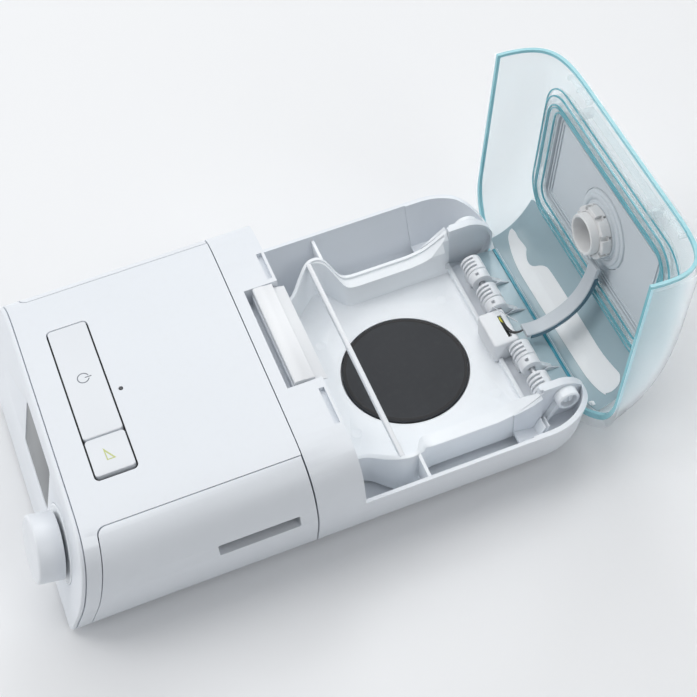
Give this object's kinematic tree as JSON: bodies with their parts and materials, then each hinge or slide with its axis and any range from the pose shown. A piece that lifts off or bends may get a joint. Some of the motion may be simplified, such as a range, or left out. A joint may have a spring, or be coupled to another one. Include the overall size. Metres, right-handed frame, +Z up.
{
  "type": "positive airway pressure machine",
  "caption": "Bedside airway pressure unit with docked heated humidifier: hinged clear-lined lid, heater plate bay, control dial, top keys, side filter door and swivelling air outlet.",
  "frame": {"origin": "centre of the bounding box's base with the lid open, on the surface that the feet stand on", "axes": "+Z up; +Y from the front face towards the lid hinge, the longest extent; +X to the side with the dial and the filter door"},
  "size_m": [0.188, 0.4026, 0.1441],
  "materials": {
    "shell_white": "satin moulded",
    "bay_white": "satin moulded",
    "trim_white": "semi-gloss moulded",
    "clear_blue": "clear tinted, polished",
    "display_grey": "polished window",
    "lens_dark": "polished",
    "silicone_grey": "matt silicone",
    "arm_grey": "satin moulded",
    "plate_black": "satin black coating",
    "moulded_dark": "moulded",
    "board_green": "solder mask",
    "foam_grey": "open foam",
    "steel": "drawn",
    "foot_rubber": "matt"
  },
  "bodies": {
    "base": {"lower_case": "shell_white", "upper_case": "shell_white", "front_panel": "shell_white", "humidifier_case": "shell_white", "dial_ring": "bay_white", "humidifier_base": "bay_white", "tank_bay_liner": "bay_white", "blower_housing": "bay_white", "cross_bar": "trim_white", "wire_box": "trim_white", "hinge_barrel_1": "trim_white", "hinge_barrel_2": "trim_white", "hinge_barrel_3": "trim_white", "hinge_barrel_4": "trim_white", "display_window": "display_grey", "light_sensor": "lens_dark", "outlet_duct": "silicone_grey", "air_inlet": "silicone_grey", "button_seal": "silicone_grey", "display_module": "moulded_dark", "dial_encoder": "moulded_dark", "link_connector": "moulded_dark", "power_inlet": "moulded_dark", "link_wires": "moulded_dark", "main_board": "board_green", "pollen_filter": "foam_grey", "sd_socket": "steel", "blower_motor": "steel", "heater_spring": "steel", "hinge_rod_left": "steel", "hinge_rod_right": "steel", "foot_1": "foot_rubber", "foot_2": "foot_rubber", "foot_3": "foot_rubber", "foot_4": "foot_rubber"},
    "dial_stem": {"dial_plunger": "steel"},
    "dial": {"control_dial": "trim_white"},
    "therapy_key": {"therapy_button": "trim_white"},
    "ramp_key": {"ramp_button": "trim_white"},
    "door": {"filter_door": "shell_white"},
    "cover": {"side_cover": "shell_white"},
    "heater": {"heater_plate": "plate_black", "heater_element": "moulded_dark"},
    "latch": {"lid_latch": "trim_white"},
    "rotor": {"blower_impeller": "moulded_dark"},
    "card": {"sd_card": "moulded_dark"},
    "lid": {"lid_cover": "trim_white", "lid_liner": "clear_blue", "lid_frame": "clear_blue", "lid_seal": "silicone_grey", "port_flange": "silicone_grey", "outlet_port": "trim_white", "port_collar": "trim_white", "wire_arm": "arm_grey", "lid_knuckle_1": "trim_white", "lid_knuckle_2": "trim_white", "lid_knuckle_3": "trim_white", "lid_knuckle_4": "trim_white", "lid_catch": "clear_blue"},
    "elbow": {"outlet_elbow": "trim_white"}
  },
  "joints": [
    {"name": "lid_hinge", "type": "hinge", "parent": "base", "child": "lid", "pos_m": [0, 0.09946, 0.0228], "axis": [1, 0, 0], "range_deg": [0, 95.5]},
    {"name": "outlet_swivel", "type": "hinge", "parent": "lid", "child": "elbow", "pos_m": [0.002, 0.17844, 0.07929], "axis": [0, 0.9954, -0.0958], "continuous": true},
    {"name": "latch_slide", "type": "slide", "parent": "base", "child": "latch", "axis": [0, -1, 0], "range_m": [0, 0.003], "stiffness_N_per_m": 900, "springref_m": -0.0006},
    {"name": "therapy_press", "type": "slide", "parent": "base", "child": "therapy_key", "axis": [0, 0, -1], "range_m": [0, 0.0008], "stiffness_N_per_m": 1500, "springref_m": -0.0004},
    {"name": "ramp_press", "type": "slide", "parent": "base", "child": "ramp_key", "axis": [0, 0, -1], "range_m": [0, 0.0008], "stiffness_N_per_m": 1500, "springref_m": -0.0004},
    {"name": "dial_press", "type": "slide", "parent": "base", "child": "dial_stem", "axis": [0, 0.9684, -0.2495], "range_m": [0, 0.001], "stiffness_N_per_m": 900, "springref_m": -0.0006},
    {"name": "dial_turn", "type": "hinge", "parent": "dial_stem", "child": "dial", "pos_m": [0.055, -0.18163, 0.046], "axis": [0, -0.9684, 0.2495], "continuous": true},
    {"name": "door_hinge", "type": "hinge", "parent": "base", "child": "door", "pos_m": [0.07615, -0.11184, 0.08205], "axis": [0, -1, 0], "range_deg": [0, 100]},
    {"name": "cover_pull", "type": "slide", "parent": "base", "child": "cover", "axis": [-1, 0, 0], "range_m": [0, 0.015]},
    {"name": "heater_float", "type": "slide", "parent": "base", "child": "heater", "axis": [0, 0, -1], "range_m": [0, 0.002], "stiffness_N_per_m": 2500, "springref_m": -0.0006, "deforming": ["heater_spring"]},
    {"name": "rotor_spin", "type": "hinge", "parent": "base", "child": "rotor", "pos_m": [-0.008, -0.10584, 0.022], "axis": [0, 0, 1], "continuous": true},
    {"name": "card_push", "type": "slide", "parent": "base", "child": "card", "axis": [-1, 0, 0], "range_m": [0, 0.001], "stiffness_N_per_m": 500, "springref_m": -0.0005}
  ]
}
